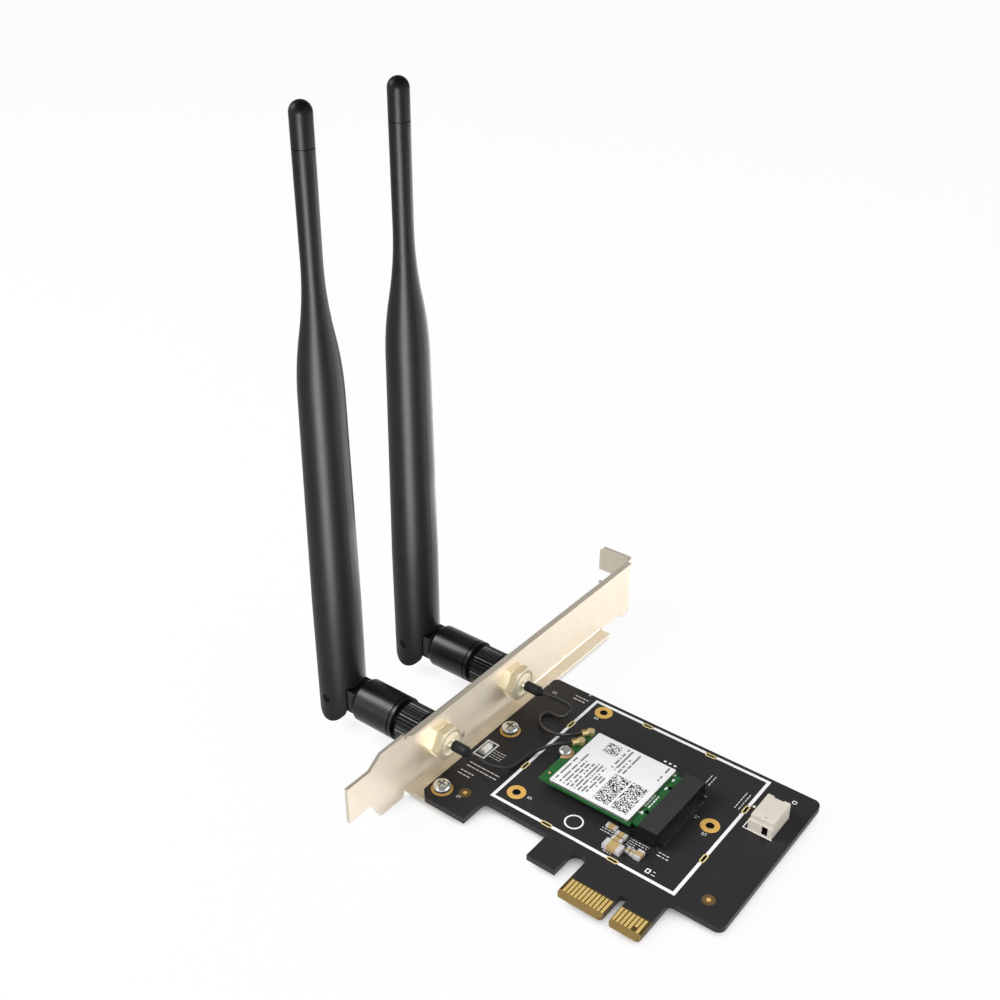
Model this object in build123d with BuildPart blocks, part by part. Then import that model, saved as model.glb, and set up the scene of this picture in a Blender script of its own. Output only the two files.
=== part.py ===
"""Plug-in wireless network card with a bracket, a radio module and two swivel antennas.

The origin is the middle of the key notch on the finger edge, at the component side of the board.
+X runs along the card away from the bracket, +Y to its top edge and +Z off the component side.
Sizes are in millimetres.
"""

import math
import os

from build123d import *

os.makedirs("parts", exist_ok=True)

# Circuit board
board_thick = 1.6
bracket_end = 56.9
free_end = 21.5
board_height = 61.8
edge_height = 13.0
free_corner_r = 2.0
bracket_corner_r = 1.5
inner_corner_r = 0.9
foot_drop = 8.1
foot_cut = 2.0
hook_gap = 18.5
hook_width = 7.8
hook_slot_width = 4.0
hook_slot_top = 12.6
key_width = 1.9
key_top = 8.3

# Finger contacts on the board's edge
first_finger = 1.5
finger_pitch = 1.0
finger_width = 0.7
finger_length = 4.1
short_finger_cut = 1.3
fingers_before_key = 11
fingers_after_key = 7
fingers_before_short = 5
finger_margin = 1.1
finger_corner = 0.5
bevel_length = 1.25
bevel_depth = 0.45
pad_thick = 0.05

# Plated holes, shield slots and aiming dots
ring_hole_r = 1.05
ring_pad_r = 2.35
ring_x = -38.5
ring_low_margin = 6.75
ring_high_margin = 4.25
far_ring_x = 4.0
shield_left = -42.5
shield_right = 8.05
shield_bottom = 15.5
shield_top_margin = 1.7
slot_length = 2.4
slot_width = 0.6
slot_rim = 0.35
side_slot_y = (28.7, 48.5)
end_slot_x = (-26.5, -8.0)
aiming_dots = ((-48.2, 12.0), (15.0, 18.7))
aiming_dot_r = 0.55

# Bracket, folded from one sheet
sheet = 0.9
bracket_gap = 4.5
bracket_length = 120.0
bracket_drop = 14.1
bracket_width = 18.4
plate_skirt = 0.9
bend_inner_r = 0.4
end_tab_width = 10.2
end_tab_low = 2.0
end_tab_length = 7.6
end_tab_r = 1.6
low_slope = 2.5
high_slope = 4.0
flange_start = 5.4
flange_far_gap = 15.9
flange_width = 3.45
relief = 0.6
far_step_gap = 5.6
far_step_slope = 0.7
far_step_lift = 1.1
screw_tab_width = 8.6
screw_tab_reach = 6.9
screw_tab_r = 1.6
lip_start = 6.2
lip_far_gap = 2.9
lip_depth = 2.4
lip_corner_r = 1.0
top_tab_reach = 10.0
top_tab_cut = 1.2
screw_notch_width = 4.4
screw_notch_depth = 6.3
screw_notch_z = 5.0
lamp_hole_r = 1.1
lamp_hole_z = 0.9

# Bracket screws
screw_inset = 3.4
screw_y = 9.7
screw_pitch = 27.2
screw_r = 1.5
screw_head_r = 2.3
screw_head_height = 1.7
screw_length = 3.2
head_round = 0.6
screw_pad_r = 2.7
screw_clearance = 0.1
thread_clearance = 0.05
cross_width = 0.55
cross_length = 2.4
cross_depth = 0.9

# Antenna jacks through the bracket
jack_front_y = 17.5
jack_pitch = 29.7
jack_z = 6.9
jack_thread_r = 3.175
jack_flange_r = 4.2
jack_flange_thick = 1.0
jack_bore_r = 2.3
jack_bore_depth = 3.8
jack_core_r = 1.6
jack_back_wall = 0.8
jack_hole_clearance = 0.1
hex_flats = 8.2
hex_thick = 2.15
hex_gap = 0.1
hex_chamfer = 0.45
spigot_r = 0.8
ferrule_r = 1.15
ferrule_length = 2.6
sleeve_r = 1.4
sleeve_cover = 1.6
sleeve_length = 3.9
sleeve_taper = 1.5
sleeve_tip_r = 0.55
contact_r = 0.4
contact_reach = 2.2
insulator_step = 1.0
slip = 0.05

# Thin coax cables on the board
cable_r = 0.405
cable_lead = 1.5
bend_share = 0.45

# Radio module, its socket and its post
module_left = -35.4
module_length = 30.0
module_width = 22.0
module_mid_y = 35.55
module_thick = 0.8
module_height = 2.45
tongue_width = 19.85
tongue_length = 4.0
module_notch_r = 1.25
key_slot_width = 1.2
key_slot_depth = 3.5
key_slot_y = (-5.1, 5.1)
module_finger_pitch = 0.5
module_finger_width = 0.35
module_finger_length = 2.2
module_finger_count = 36
module_pad_r = 2.2
can_margin_left = 2.8
can_margin_right = 4.6
can_margin_side = 0.15
can_height = 0.6
can_corner_r = 0.45
label_margin = 0.1
label_thick = 0.06
socket_grip = 1.9
socket_depth = 5.2
socket_height = 4.3
socket_slot_clearance = 0.1
socket_key_clearance = 0.15
socket_arm_reach = 1.9
socket_arm_width = 1.5
socket_arm_height = 2.2
tail_length = 1.2
tail_width = 0.25
tail_thick = 0.18
hold_down_width = 0.5
hold_down_height = 0.25
hold_down_reach = 0.8
post_r = 2.2
post_screw_r = 0.95
post_head_r = 1.6
post_head_height = 1.2
post_cross_width = 0.33
post_cross_depth = 0.45
post_screw_reach = 1.6

# Snap-on coax plugs on the module
receptacle_inset_x = 1.2
receptacle_y = (5.2, 9.5)
receptacle_r = 0.75
receptacle_height = 0.6
receptacle_base_r = 0.95
receptacle_base_height = 0.2
plug_head_r = 1.0
plug_head_height = 1.35
plug_neck_length = 2.4
plug_neck_r = 0.6
plug_heading = 232.0

# Wire header at the free end
header_x = 11.6
header_y = 43.6
header_width = 5.8
header_depth = 8.6
header_height = 4.5
header_wall = 0.75
header_back = 2.4
header_foot_step = 0.35
header_foot_height = 2.9
header_window_width = 1.45
header_window_height = 2.5
header_window_inset = 1.15
header_window_low = 0.3
header_window_depth = 1.55
header_dimple_x = 3.35
header_dimple_y = 1.05
header_dimple_length = 0.8
header_dimple_width = 0.35
header_dimple_depth = 0.3
header_lug_gap = 2.6
header_lug_depth = 0.4
header_pin_pitch = 1.25
header_pin_count = 4
header_pin = 0.5
header_pin_reach = 6.4

# Chip parts: middle, size along the board's X and Y, height, and the way the end caps lie
chips = (
    ((-13.7, 23.95), (2.9, 1.3), 0.7, "x"),
    ((-10.4, 22.8), (2.9, 1.4), 0.9, "x"),
    ((-10.45, 21.0), (2.8, 1.2), 0.8, "x"),
    ((-9.85, 18.5), (4.7, 2.5), 1.3, "x"),
    ((-6.75, 20.0), (1.0, 1.6), 0.7, "y"),
    ((-5.45, 19.9), (1.0, 1.8), 0.7, "y"),
    ((-3.9, 20.1), (1.7, 2.7), 1.0, "y"),
)
cap_share = 0.25
led_length = 3.7
led_width = 1.75
led_height = 1.3
led_x = -53.8
led_y = 27.1
led_facet = 0.6

# Antenna coupling nut and plug
nut_gap = 0.3
nut_length = 7.4
nut_r = 5.3
nut_collar_r = 5.1
nut_collar_length = 1.3
nut_ridges = 36
nut_ridge_cut = 0.42
nut_wall = 1.6
nut_relief_r = 3.8
nut_mouth_r = 4.5
nut_mouth_depth = 0.9
plug_collar = 0.75
plug_stem_r = 2.9
plug_stem_depth = 6.0
plug_nose_clearance = 0.1
plug_nose_length = 2.0
plug_bore_r = 1.5
plug_bore_depth = 4.0
plug_socket_r = 0.85

# Hinge base
base_gap = 1.2
base_length = 14.0
base_r = 5.75
base_rim_width = 0.9
base_groove_width = 0.35
base_groove_depth = 0.25
base_chamfer_length = 1.6
base_chamfer_depth = 1.1
hinge_reach = 7.4
tongue_half_height = 3.4
tongue_thick = 7.2
hinge_pin_r = 1.2
pin_recess = 0.35

# Antenna
fork_clearance = 0.2
prong_end_r = 4.9
prong_reach = 7.1
shell_r = 6.15
shell_straight = 34.0
seam_z = 89.0
seam_r = 5.5
neck_z = 122.0
neck_r = 2.5
tip_joint_r = 2.55
tip_length = 9.8
tip_top_z = 156.3
tip_groove = 0.25
tip_spigot_length = 5.0
shell_web = 2.5
shell_bore_r = 4.0
shell_bore_top = 84.0
whip_bore_r = 1.6
whip_r = 0.9
whip_tip_gap = 13.5
whip_disc_thick = 2.0
whip_sleeve_r = 2.6
whip_sleeve_length = 30.0

# Places worked out from the sizes above
board_left_x = -bracket_end
board_bottom_z = -board_thick
foot_y = edge_height - foot_drop
finger_left_x = -(first_finger + (fingers_before_key - 1) * finger_pitch + finger_margin)
finger_right_x = first_finger + (fingers_after_key - 1) * finger_pitch + finger_margin
hook_right_x = finger_left_x - hook_slot_width
hook_left_x = hook_right_x - hook_width
foot_right_x = hook_left_x - hook_gap
screw_x = board_left_x + screw_inset
screw_points = [(screw_x, screw_y), (screw_x, screw_y + screw_pitch)]
ring_low_y = edge_height + ring_low_margin
ring_high_y = board_height - ring_high_margin
ring_points = [(ring_x, ring_low_y), (ring_x, ring_high_y), (far_ring_x, (ring_low_y + ring_high_y) / 2)]
shield_top = board_height - shield_top_margin
side_slots = [(x, y) for x in (shield_left, shield_right) for y in side_slot_y]
end_slots = [(x, y) for y in (shield_bottom, shield_top) for x in end_slot_x]
plate_in_x = board_left_x - bracket_gap
plate_out_x = plate_in_x - sheet
bend_r = bend_inner_r + sheet
flange_low_z = board_bottom_z - sheet
plate_low_z = flange_low_z - plate_skirt
plate_high_z = plate_low_z + bracket_width
plate_low_y = -bracket_drop
plate_high_y = plate_low_y + bracket_length
flange_end = plate_high_y - flange_far_gap
far_step_start = plate_high_y - far_step_gap
lip_end = plate_high_y - lip_far_gap
jack_sides = {"front": jack_front_y, "rear": jack_front_y + jack_pitch}
hex_end_x = plate_in_x + 2 * hex_thick + hex_gap
ferrule_end_x = hex_end_x + ferrule_length
sleeve_start_x = ferrule_end_x - sleeve_cover
sleeve_tip_x = sleeve_start_x + sleeve_length + sleeve_taper
jack_face_x = plate_out_x - jack_flange_thick
jack_back_x = hex_end_x - jack_back_wall
module_right_x = module_left + module_length
module_low_z = module_height
module_top_z = module_low_z + module_thick
socket_left_x = module_right_x - socket_grip
socket_right_x = socket_left_x + socket_depth
receptacle_points = [(module_left + receptacle_inset_x, module_mid_y + y) for y in receptacle_y]
plug_points = dict(zip(("front", "rear"), receptacle_points))
plug_neck_z = module_top_z + receptacle_base_height + slip + plug_neck_r
nut_right_x = jack_face_x - nut_gap
nut_left_x = nut_right_x - nut_length
nut_wall_x = nut_left_x + nut_wall
collar_left_x = nut_wall_x + slip
collar_right_x = collar_left_x + plug_collar
jack_tip_x = collar_right_x + nut_gap
jack_bore_end_x = jack_tip_x + jack_bore_depth
insulator_face_x = jack_bore_end_x - insulator_step
contact_tip_x = insulator_face_x - contact_reach
base_right_x = nut_left_x - base_gap
base_left_x = base_right_x - base_length
hinge_x = base_left_x - hinge_reach
fork_half = tongue_thick / 2 + fork_clearance
fork_roof_z = jack_z + tongue_half_height + fork_clearance
shell_floor_z = fork_roof_z + shell_web
tip_joint_z = tip_top_z - tip_length
whip_top = tip_joint_z - tip_spigot_length - whip_tip_gap


def save(piece, name):
    """Label a finished piece and write it."""
    piece.part.label = name
    export_step(piece.part, f"parts/{name}.step")


def jack_plane(y):
    """Drawing plane through a jack's axis: local x along the card, local y away from the axis."""
    return Plane(origin=(0, y, jack_z), x_dir=(1, 0, 0), z_dir=(0, -1, 0))


def jack_axis(y):
    """Axis of a jack, along the card."""
    return Axis((0, y, jack_z), (1, 0, 0))


def turned(plane, axis, profile):
    """A solid of revolution from a closed profile."""
    with BuildPart() as piece:
        with BuildSketch(plane):
            with BuildLine():
                Polyline(*profile, close=True)
            make_face()
        revolve(axis=axis)
    return piece


def block(low, high):
    """A box between two corners, added to the part that is being built."""
    size = [b - a for a, b in zip(low, high)]
    middle = tuple((a + b) / 2 for a, b in zip(low, high))
    with Locations(middle):
        Box(*size)


def corner(sketch, x, y):
    """The vertex of a sketch nearest to a point."""
    return sketch.vertices().sort_by_distance(Vector(x, y, 0))[0]


def straight_edge(piece, axis, point):
    """The edge of a part that lies along an axis and passes nearest to a point."""
    return piece.edges().filter_by(axis).sort_by_distance(Vector(*point))[0]


# Circuit board: one outline with a foot, a hook, the finger tongue and its key notch
with BuildPart() as circuit_board:
    with BuildSketch() as outline:
        with Locations(((board_left_x + free_end) / 2, (edge_height + board_height) / 2)):
            Rectangle(free_end - board_left_x, board_height - edge_height)
        with Locations((board_left_x, foot_y)):
            Rectangle(foot_right_x - board_left_x, foot_drop, align=Align.MIN)
        with Locations((hook_left_x, foot_y)):
            Rectangle(finger_left_x - hook_left_x, foot_drop, align=Align.MIN)
        with Locations((finger_left_x, 0)):
            Rectangle(finger_right_x - finger_left_x, edge_height, align=Align.MIN)
        with Locations(((hook_right_x + finger_left_x) / 2, hook_slot_top - hook_slot_width / 2)):
            Circle(hook_slot_width / 2, mode=Mode.SUBTRACT)
            Rectangle(hook_slot_width, hook_slot_top, align=(Align.CENTER, Align.MAX), mode=Mode.SUBTRACT)
        with Locations((0, key_top - key_width / 2)):
            Circle(key_width / 2, mode=Mode.SUBTRACT)
            Rectangle(key_width, key_top, align=(Align.CENTER, Align.MAX), mode=Mode.SUBTRACT)
        fillet([corner(outline, free_end, y) for y in (edge_height, board_height)], free_corner_r)
        fillet(corner(outline, board_left_x, board_height), bracket_corner_r)
        fillet([corner(outline, x, edge_height) for x in (foot_right_x, finger_right_x)], inner_corner_r)
        chamfer(corner(outline, board_left_x, foot_y), foot_cut)
        tongue_ends = (finger_left_x, -key_width / 2, key_width / 2, finger_right_x)
        chamfer([corner(outline, x, 0) for x in tongue_ends], finger_corner)
    extrude(amount=-board_thick)
    with BuildSketch(Plane.YZ.offset(finger_left_x)):
        with BuildLine():
            Polyline((0, 0), (bevel_length, 0), (0, -bevel_depth), close=True)
        make_face()
        with BuildLine():
            low_bevel_z = board_bottom_z + bevel_depth
            Polyline((0, board_bottom_z), (bevel_length, board_bottom_z), (0, low_bevel_z), close=True)
        make_face()
    extrude(amount=finger_right_x - finger_left_x, mode=Mode.SUBTRACT)
    with Locations(*[(x, y, 0) for x, y in ring_points]):
        Hole(ring_hole_r)
    with Locations(*[(x, y, 0) for x, y in screw_points]):
        Hole(screw_r + screw_clearance)
    with BuildSketch():
        with Locations(*side_slots):
            SlotOverall(slot_length, slot_width, rotation=90)
        with Locations(*end_slots):
            SlotOverall(slot_length, slot_width)
    extrude(amount=-board_thick, mode=Mode.SUBTRACT)
save(circuit_board, "circuit_board")


def finger_contacts(low_z):
    """The row of edge contacts on one side of the board."""
    before_key = [-first_finger - i * finger_pitch for i in range(fingers_before_key)]
    after_key = [first_finger + i * finger_pitch for i in range(fingers_after_key)]
    short_x = first_finger + fingers_before_short * finger_pitch
    with BuildPart() as contacts:
        with BuildSketch(Plane.XY.offset(low_z)):
            for x in before_key + after_key:
                cut = short_finger_cut if abs(x - short_x) < finger_width / 2 else 0
                with Locations((x, bevel_length + cut)):
                    Rectangle(finger_width, finger_length - cut, align=(Align.CENTER, Align.MIN))
        extrude(amount=pad_thick)
    return contacts


save(finger_contacts(0), "contacts_top")
save(finger_contacts(board_bottom_z - pad_thick), "contacts_bottom")

# Gold pads round the plated holes and the screws, with the aiming dots
with BuildPart() as ring_pads:
    with BuildSketch():
        with Locations(*ring_points):
            Circle(ring_pad_r)
        with Locations(*screw_points):
            Circle(screw_pad_r)
        with Locations(*aiming_dots):
            Circle(aiming_dot_r)
        with Locations(*ring_points):
            Circle(ring_hole_r, mode=Mode.SUBTRACT)
        with Locations(*screw_points):
            Circle(screw_r + screw_clearance, mode=Mode.SUBTRACT)
    extrude(amount=pad_thick)
    with BuildSketch(Plane.XY.offset(board_bottom_z)):
        with Locations(*ring_points):
            Circle(ring_pad_r)
            Circle(ring_hole_r, mode=Mode.SUBTRACT)
    extrude(amount=-pad_thick)
save(ring_pads, "ring_pads")

with BuildPart() as slot_rims:
    with BuildSketch():
        for points, turn in ((side_slots, 90), (end_slots, 0)):
            with Locations(*points):
                SlotOverall(slot_length + 2 * slot_rim, slot_width + 2 * slot_rim, rotation=turn)
                SlotOverall(slot_length, slot_width, rotation=turn, mode=Mode.SUBTRACT)
    extrude(amount=pad_thick)
save(slot_rims, "slot_rims")


def fold(origin, x_dir, z_dir, leg, length):
    """A bend off the plate's edge with a flat leg beyond it, added to the part that is being built."""
    with BuildSketch(Plane(origin=origin, x_dir=x_dir, z_dir=z_dir)) as section:
        with BuildLine():
            TangentArc((0, 0), (bend_r, bend_r), tangent=(0, 1))
            Polyline((bend_r, bend_r), (leg, bend_r), (leg, bend_inner_r), (bend_r, bend_inner_r))
            TangentArc((bend_r, bend_inner_r), (sheet, 0), tangent=(-1, 0))
            Line((sheet, 0), (0, 0))
        make_face()
    extrude(section.sketch, amount=length)


# Bracket: plate, board flange with two screw tabs, stiffening lip and top tab, bent from one sheet
with BuildPart() as bracket:
    end_tab_high = end_tab_low + end_tab_width
    end_neck_y = plate_low_y + end_tab_length
    flange_bend_z = flange_low_z + bend_r
    lip_bend_z = plate_high_z - bend_r
    tab_bend_y = plate_high_y - bend_r
    far_step_z = plate_low_z + far_step_lift
    with BuildSketch(Plane.YZ.offset(plate_out_x)) as plate:
        with BuildLine():
            Polyline(
                (plate_low_y, end_tab_low),
                (end_neck_y, end_tab_low),
                (end_neck_y + low_slope, plate_low_z),
                (flange_start - relief, plate_low_z),
                (flange_start - relief, flange_bend_z),
                (flange_end + relief, flange_bend_z),
                (flange_end + relief, far_step_z),
                (far_step_start, far_step_z),
                (far_step_start + far_step_slope, plate_low_z),
                (tab_bend_y, plate_low_z),
                (tab_bend_y, plate_high_z),
                (lip_end + relief, plate_high_z),
                (lip_end + relief, lip_bend_z),
                (lip_start - relief / 2, lip_bend_z),
                (lip_start - relief, plate_high_z),
                (end_neck_y + high_slope, plate_high_z),
                (end_neck_y, end_tab_high),
                (plate_low_y, end_tab_high),
                close=True,
            )
        make_face()
        fillet(plate.vertices().group_by(Axis.Y)[0], end_tab_r)
    extrude(amount=sheet)
    flange_reach = sheet + flange_width
    flange_length = flange_end - flange_start
    fold((plate_out_x, flange_start, flange_bend_z), (1, 0, 0), (0, 1, 0), flange_reach, flange_length)
    fold((plate_out_x, lip_end, lip_bend_z), (1, 0, 0), (0, -1, 0), lip_depth, lip_end - lip_start)
    tab_leg = sheet + top_tab_reach
    fold((plate_in_x, tab_bend_y, plate_high_z), (-1, 0, 0), (0, 0, -1), tab_leg, bracket_width)
    lip_corner = (plate_out_x + lip_depth, lip_start, plate_high_z - sheet / 2)
    fillet(straight_edge(bracket, Axis.Z, lip_corner), lip_corner_r)
    screw_tab_x = board_left_x + screw_tab_reach
    with BuildSketch(Plane.XY.offset(flange_low_z)) as screw_tabs:
        for x, y in screw_points:
            with Locations(((plate_in_x + bend_r + screw_tab_x) / 2, y)):
                Rectangle(screw_tab_x - plate_in_x - bend_r, screw_tab_width)
        fillet(screw_tabs.vertices().group_by(Axis.X)[-1], screw_tab_r)
    extrude(amount=sheet)
    top_tab_x = plate_out_x - top_tab_reach
    with BuildSketch(Plane.XZ.offset(-plate_high_y)):
        with Locations((top_tab_x, plate_low_z), (top_tab_x, plate_high_z)):
            Rectangle(top_tab_cut * math.sqrt(2), top_tab_cut * math.sqrt(2), rotation=45)
        with Locations((top_tab_x + screw_notch_depth - screw_notch_width / 2, screw_notch_z)):
            Circle(screw_notch_width / 2)
            Rectangle(screw_notch_depth, screw_notch_width, align=(Align.MAX, Align.CENTER))
    extrude(amount=sheet, mode=Mode.SUBTRACT)
    with BuildSketch(Plane.YZ.offset(plate_out_x)):
        for y in jack_sides.values():
            with Locations((y, jack_z)):
                Circle(jack_thread_r + jack_hole_clearance)
        with Locations((led_y, lamp_hole_z)):
            Circle(lamp_hole_r)
    extrude(amount=sheet, mode=Mode.SUBTRACT)
    with Locations(*[(x, y, board_bottom_z) for x, y in screw_points]):
        Hole(screw_r + thread_clearance)
save(bracket, "bracket")

# Bracket screws: pan heads with a cross recess
with BuildPart() as bracket_screws:
    with BuildSketch(Plane.XY.offset(pad_thick)):
        with Locations(*screw_points):
            Circle(screw_head_r)
    extrude(amount=screw_head_height)
    fillet(bracket_screws.edges().group_by(Axis.Z)[-1], screw_head_height * head_round)
    with BuildSketch(Plane.XY.offset(pad_thick)):
        with Locations(*screw_points):
            Circle(screw_r)
    extrude(amount=-(screw_length + pad_thick))
    with BuildSketch(Plane.XY.offset(pad_thick + screw_head_height - cross_depth)):
        with Locations(*screw_points):
            Rectangle(cross_length, cross_width)
            Rectangle(cross_width, cross_length)
    extrude(amount=cross_depth, mode=Mode.SUBTRACT)
save(bracket_screws, "bracket_screws")


def hex_nut(y, start_x, name):
    """A hexagon nut on a jack's thread, with its far corners turned off."""
    hex_r = hex_flats / math.sqrt(3)
    with BuildPart() as nut:
        with BuildSketch(Plane(origin=(start_x, y, jack_z), x_dir=(0, 1, 0), z_dir=(1, 0, 0))):
            RegularPolygon(hex_r, 6)
            Circle(jack_thread_r + slip, mode=Mode.SUBTRACT)
        extrude(amount=hex_thick)
        with BuildSketch(jack_plane(y)):
            end_x = start_x + hex_thick
            with BuildLine():
                Polyline(
                    (start_x, 0),
                    (start_x, hex_r),
                    (end_x - hex_chamfer, hex_r),
                    (end_x, hex_r - 2 * hex_chamfer),
                    (end_x, 0),
                    close=True,
                )
            make_face()
        revolve(axis=jack_axis(y), mode=Mode.INTERSECT)
    save(nut, name)


def jack(y, side):
    """A coax jack: threaded barrel with an outer flange, its nuts, insulator and contact."""
    body = turned(
        jack_plane(y),
        jack_axis(y),
        (
            (jack_tip_x, jack_bore_r),
            (jack_tip_x, jack_thread_r),
            (jack_face_x, jack_thread_r),
            (jack_face_x, jack_flange_r),
            (plate_out_x, jack_flange_r),
            (plate_out_x, jack_thread_r),
            (hex_end_x, jack_thread_r),
            (hex_end_x, spigot_r),
            (ferrule_end_x, spigot_r),
            (ferrule_end_x, contact_r + slip),
            (jack_back_x, contact_r + slip),
            (jack_back_x, jack_core_r),
            (jack_bore_end_x, jack_core_r),
            (jack_bore_end_x, jack_bore_r),
        ),
    )
    save(body, f"jack_{side}")
    hex_nut(y, plate_in_x, f"jack_nut_{side}")
    hex_nut(y, plate_in_x + hex_thick + hex_gap, f"lock_nut_{side}")
    insulator = turned(
        jack_plane(y),
        jack_axis(y),
        (
            (insulator_face_x, contact_r + slip),
            (insulator_face_x, jack_bore_r - slip),
            (jack_bore_end_x, jack_bore_r - slip),
            (jack_bore_end_x, jack_core_r - slip),
            (jack_back_x, jack_core_r - slip),
            (jack_back_x, contact_r + slip),
        ),
    )
    save(insulator, f"jack_insulator_{side}")
    contact = turned(
        jack_plane(y),
        jack_axis(y),
        ((contact_tip_x, 0), (contact_tip_x, contact_r), (ferrule_end_x, contact_r), (ferrule_end_x, 0)),
    )
    save(contact, f"jack_contact_{side}")


def cable_end(y, side):
    """The crimped ferrule behind a jack and the shrink sleeve that carries the cable out of it."""
    ferrule = turned(
        jack_plane(y),
        jack_axis(y),
        (
            (hex_end_x, spigot_r + slip),
            (hex_end_x, ferrule_r),
            (ferrule_end_x, ferrule_r),
            (ferrule_end_x, spigot_r + slip),
        ),
    )
    save(ferrule, f"ferrule_{side}")
    taper_x = sleeve_start_x + sleeve_length
    sleeve = turned(
        jack_plane(y),
        jack_axis(y),
        (
            (sleeve_start_x, ferrule_r + slip),
            (sleeve_start_x, sleeve_r),
            (taper_x, sleeve_r),
            (sleeve_tip_x, sleeve_tip_r),
            (sleeve_tip_x, 0),
            (ferrule_end_x, 0),
            (ferrule_end_x, ferrule_r + slip),
        ),
    )
    save(sleeve, f"cable_sleeve_{side}")


def coax_plug(point, side):
    """A snap-on right-angle coax plug: a round cap over the receptacle and a neck to the cable."""
    x, y = point
    neck_plane = Plane(
        origin=(x, y, plug_neck_z),
        x_dir=(0, 0, 1),
        z_dir=(math.cos(math.radians(plug_heading)), math.sin(math.radians(plug_heading)), 0),
    )
    with BuildPart() as plug:
        with BuildSketch(Plane.XY.offset(module_top_z + receptacle_base_height)):
            with Locations(point):
                Circle(plug_head_r)
        extrude(amount=plug_head_height - receptacle_base_height)
        with BuildSketch(neck_plane):
            Circle(plug_neck_r)
        extrude(amount=plug_neck_length)
        with BuildSketch(Plane.XY.offset(module_top_z + receptacle_base_height)):
            with Locations(point):
                Circle(receptacle_r + slip)
        extrude(amount=receptacle_height - receptacle_base_height + slip, mode=Mode.SUBTRACT)
    save(plug, f"coax_plug_{side}")


def corner_radii(points):
    """The largest arc that each corner of a cable's route leaves room for."""
    radii = []
    for before, here, after in zip(points, points[1:], points[2:]):
        first = Vector(*here) - Vector(*before)
        second = Vector(*after) - Vector(*here)
        half_turn = math.radians(first.get_angle(second)) / 2
        radii.append(bend_share * min(first.length, second.length) / math.tan(half_turn))
    return radii


def cable(side, y, route):
    """A thin cable from a shrink sleeve's tip over the board to its plug on the module."""
    heading = math.radians(plug_heading)
    plug_x, plug_y = plug_points[side]
    out = (math.cos(heading), math.sin(heading))
    neck = (plug_x + plug_neck_length * out[0], plug_y + plug_neck_length * out[1], plug_neck_z)
    lead = (neck[0] + cable_lead * out[0], neck[1] + cable_lead * out[1], plug_neck_z)
    start = ((sleeve_tip_x, y, jack_z), (sleeve_tip_x + cable_lead, y, jack_z))
    points = [*start, *route, lead, neck]
    with BuildPart() as tube:
        with BuildLine() as path:
            FilletPolyline(*points, radius=corner_radii(points))
        with BuildSketch(Plane(origin=path.line @ 0, z_dir=path.line % 0)):
            Circle(cable_r)
        sweep()
    save(tube, f"cable_{side}")


cable_routes = {
    "front": (
        (-47.3, 18.7, 4.9),
        (-46.3, 21.0, 2.8),
        (-45.2, 23.4, 1.3),
        (-44.2, 25.9, 0.6),
        (-44.2, 29.3, 0.48),
        (-43.6, 32.6, 0.75),
        (-41.6, 35.0, 1.8),
        (-39.5, 36.3, 3.2),
    ),
    "rear": (
        (-46.3, 49.3, 5.4),
        (-44.2, 50.9, 3.4),
        (-43.9, 48.9, 1.7),
        (-46.3, 48.1, 0.65),
        (-49.5, 48.5, 0.48),
        (-50.6, 46.6, 0.48),
        (-49.6, 44.1, 0.48),
        (-47.3, 42.2, 0.65),
        (-44.0, 41.0, 1.5),
        (-40.4, 40.4, 2.9),
    ),
}
for side, y in jack_sides.items():
    jack(y, side)
    cable_end(y, side)
    coax_plug(plug_points[side], side)
    cable(side, y, cable_routes[side])

# Radio module on its post and in its socket
with BuildPart() as module_board:
    with BuildSketch(Plane.XY.offset(module_low_z)):
        with Locations((module_left, module_mid_y)):
            Rectangle(module_length - tongue_length, module_width, align=(Align.MIN, Align.CENTER))
            Rectangle(module_length, tongue_width, align=(Align.MIN, Align.CENTER))
            Circle(module_notch_r, mode=Mode.SUBTRACT)
        for y in key_slot_y:
            with Locations((module_right_x, module_mid_y + y)):
                Rectangle(
                    key_slot_depth, key_slot_width, align=(Align.MAX, Align.CENTER), mode=Mode.SUBTRACT
                )
    extrude(amount=module_thick)
save(module_board, "module_board")

with BuildPart() as module_contacts:
    with BuildSketch(Plane.XY.offset(module_top_z)):
        half_count = (module_finger_count - 1) / 2
        for i in range(module_finger_count):
            y = (i - half_count) * module_finger_pitch
            if min(abs(y - key) for key in key_slot_y) > (key_slot_width + module_finger_width) / 2:
                with Locations((module_right_x, module_mid_y + y)):
                    Rectangle(module_finger_length, module_finger_width, align=(Align.MAX, Align.CENTER))
        with Locations((module_left, module_mid_y)):
            Circle(module_pad_r)
            Circle(module_notch_r, mode=Mode.SUBTRACT)
            Rectangle(
                2 * module_pad_r, 2 * module_pad_r, align=(Align.MAX, Align.CENTER), mode=Mode.SUBTRACT
            )
    extrude(amount=pad_thick)
save(module_contacts, "module_contacts")

can_left_x = module_left + can_margin_left
can_right_x = module_right_x - can_margin_right
can_width = module_width - 2 * can_margin_side
can_top_z = module_top_z + can_height
with BuildPart() as module_shield:
    with BuildSketch(Plane.XY.offset(module_top_z)):
        with Locations(((can_left_x + can_right_x) / 2, module_mid_y)):
            RectangleRounded(can_right_x - can_left_x, can_width, can_corner_r)
    extrude(amount=can_height)
save(module_shield, "module_shield")

with BuildPart() as module_label:
    with BuildSketch(Plane.XY.offset(can_top_z)):
        with Locations(((can_left_x + can_right_x) / 2, module_mid_y)):
            label_length = can_right_x - can_left_x - 2 * label_margin
            RectangleRounded(label_length, can_width - 2 * label_margin, can_corner_r - label_margin)
    extrude(amount=label_thick)
save(module_label, "module_label")

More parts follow.
